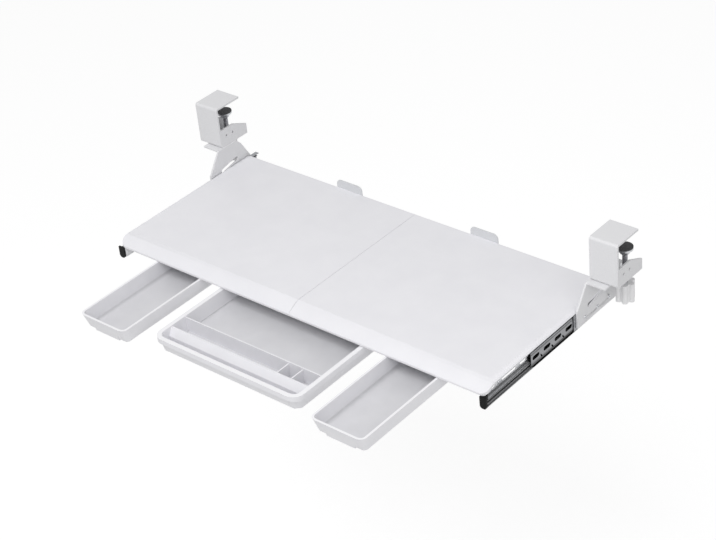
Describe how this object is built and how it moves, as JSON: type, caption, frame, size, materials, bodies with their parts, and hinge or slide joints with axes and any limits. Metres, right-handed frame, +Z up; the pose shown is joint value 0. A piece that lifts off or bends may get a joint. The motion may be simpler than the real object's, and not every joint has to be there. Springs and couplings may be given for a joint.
{
  "type": "clamp-on keyboard tray",
  "caption": "Clamp-on pull-out keyboard tray on telescopic slides, with a sloping front edge, rear stop tabs, a divided middle drawer and slim side drawers.",
  "frame": {"origin": "on the desk's front edge, midway between the clamps, level with the desk top", "axes": "+X along the desk edge to the user's right, +Y under the desk, +Z up"},
  "size_m": [0.793, 0.4725, 0.1505],
  "materials": {
    "white_steel": "white powder coat, satin",
    "white_panel": "white satin moulded panel",
    "white_drawer": "white satin moulding",
    "white_knob": "white satin moulding",
    "grey_tab": "light grey, satin",
    "zinc_slide": "bright zinc plate",
    "zinc_small": "zinc plate",
    "zinc_runner": "zinc plate",
    "dark_steel": "dark zinc plate",
    "black_cap": "black moulding",
    "grey_rubber": "matt dark grey rubber"
  },
  "bodies": {
    "desk_clamps": {"left_clamp_bracket": "white_steel", "right_clamp_bracket": "white_steel", "left_top_pad": "grey_rubber", "right_top_pad": "grey_rubber", "clamp_nuts": "zinc_small", "left_hanger": "white_steel", "right_hanger": "white_steel", "hanger_bolts": "dark_steel", "hanger_nuts": "zinc_small", "left_fixed_slide": "zinc_slide", "right_fixed_slide": "zinc_slide", "fixed_slide_screws": "zinc_small"},
    "left_foot": {"left_clamp_foot": "zinc_small", "left_foot_pad": "grey_rubber"},
    "right_foot": {"right_clamp_foot": "zinc_small", "right_foot_pad": "grey_rubber"},
    "left_screw": {"left_clamp_screw": "dark_steel", "left_clamp_knob": "white_knob"},
    "right_screw": {"right_clamp_screw": "dark_steel", "right_clamp_knob": "white_knob"},
    "outer_cages": {"left_outer_cages": "dark_steel", "right_outer_cages": "dark_steel", "outer_balls": "zinc_small"},
    "mid_slides": {"left_mid_slide": "zinc_slide", "right_mid_slide": "zinc_slide"},
    "inner_cages": {"left_inner_cages": "dark_steel", "right_inner_cages": "dark_steel", "inner_balls": "zinc_small"},
    "tray": {"left_inner_slide": "zinc_slide", "right_inner_slide": "zinc_slide", "left_slide_cap": "black_cap", "right_slide_cap": "black_cap", "inner_slide_screws": "zinc_small", "left_side_channel": "white_steel", "right_side_channel": "white_steel", "front_crossbar": "white_steel", "rear_crossbar": "white_steel", "left_panel": "white_panel", "right_panel": "white_panel", "panel_joiner": "white_steel", "panel_screws": "zinc_small", "left_stop_tab": "grey_tab", "right_stop_tab": "grey_tab", "tab_screws": "zinc_small", "left_drawer_runners": "zinc_runner", "middle_drawer_runners": "zinc_runner", "right_drawer_runners": "zinc_runner", "runner_screws": "zinc_small"},
    "left_drawer": {"left_drawer": "white_drawer"},
    "middle_drawer": {"middle_drawer": "white_drawer"},
    "right_drawer": {"right_drawer": "white_drawer"}
  },
  "joints": [
    {"name": "tray_slide", "type": "slide", "parent": "desk_clamps", "child": "tray", "axis": [0, 1, 0], "range_m": [0, 0.177]},
    {"name": "mid_slide_travel", "type": "slide", "parent": "desk_clamps", "child": "mid_slides", "axis": [0, 1, 0], "range_m": [-0.0001, 0.1001]},
    {"name": "outer_cage_travel", "type": "slide", "parent": "desk_clamps", "child": "outer_cages", "axis": [0, 1, 0], "range_m": [-0.0001, 0.0501]},
    {"name": "inner_cage_travel", "type": "slide", "parent": "desk_clamps", "child": "inner_cages", "axis": [0, 1, 0], "range_m": [-0.0001, 0.1386]},
    {"name": "left_drawer_slide", "type": "slide", "parent": "tray", "child": "left_drawer", "axis": [0, 1, 0], "range_m": [0, 0.16]},
    {"name": "middle_drawer_slide", "type": "slide", "parent": "tray", "child": "middle_drawer", "axis": [0, 1, 0], "range_m": [0, 0.142]},
    {"name": "right_drawer_slide", "type": "slide", "parent": "tray", "child": "right_drawer", "axis": [0, 1, 0], "range_m": [0, 0.16]},
    {"name": "left_foot_lift", "type": "slide", "parent": "desk_clamps", "child": "left_foot", "axis": [0, 0, 1], "range_m": [-0.01, 0.01125]},
    {"name": "left_screw_turn", "type": "hinge", "parent": "left_foot", "child": "left_screw", "pos_m": [-0.3795, 0.041, -0.06], "axis": [0, 0, 1], "range_deg": [-2890, 3250]},
    {"name": "right_foot_lift", "type": "slide", "parent": "desk_clamps", "child": "right_foot", "axis": [0, 0, 1], "range_m": [-0.01, 0.01125]},
    {"name": "right_screw_turn", "type": "hinge", "parent": "right_foot", "child": "right_screw", "pos_m": [0.3795, 0.041, -0.06], "axis": [0, 0, 1], "range_deg": [-2890, 3250]}
  ],
  "couplings": [
    {"joint": "mid_slide_travel", "follows": "tray_slide", "ratio": 0.565},
    {"joint": "outer_cage_travel", "follows": "tray_slide", "ratio": 0.2825},
    {"joint": "inner_cage_travel", "follows": "tray_slide", "ratio": 0.7825},
    {"joint": "left_screw_turn", "follows": "left_foot_lift", "rad_per_m": 5026.5},
    {"joint": "right_screw_turn", "follows": "right_foot_lift", "rad_per_m": 5026.5}
  ]
}
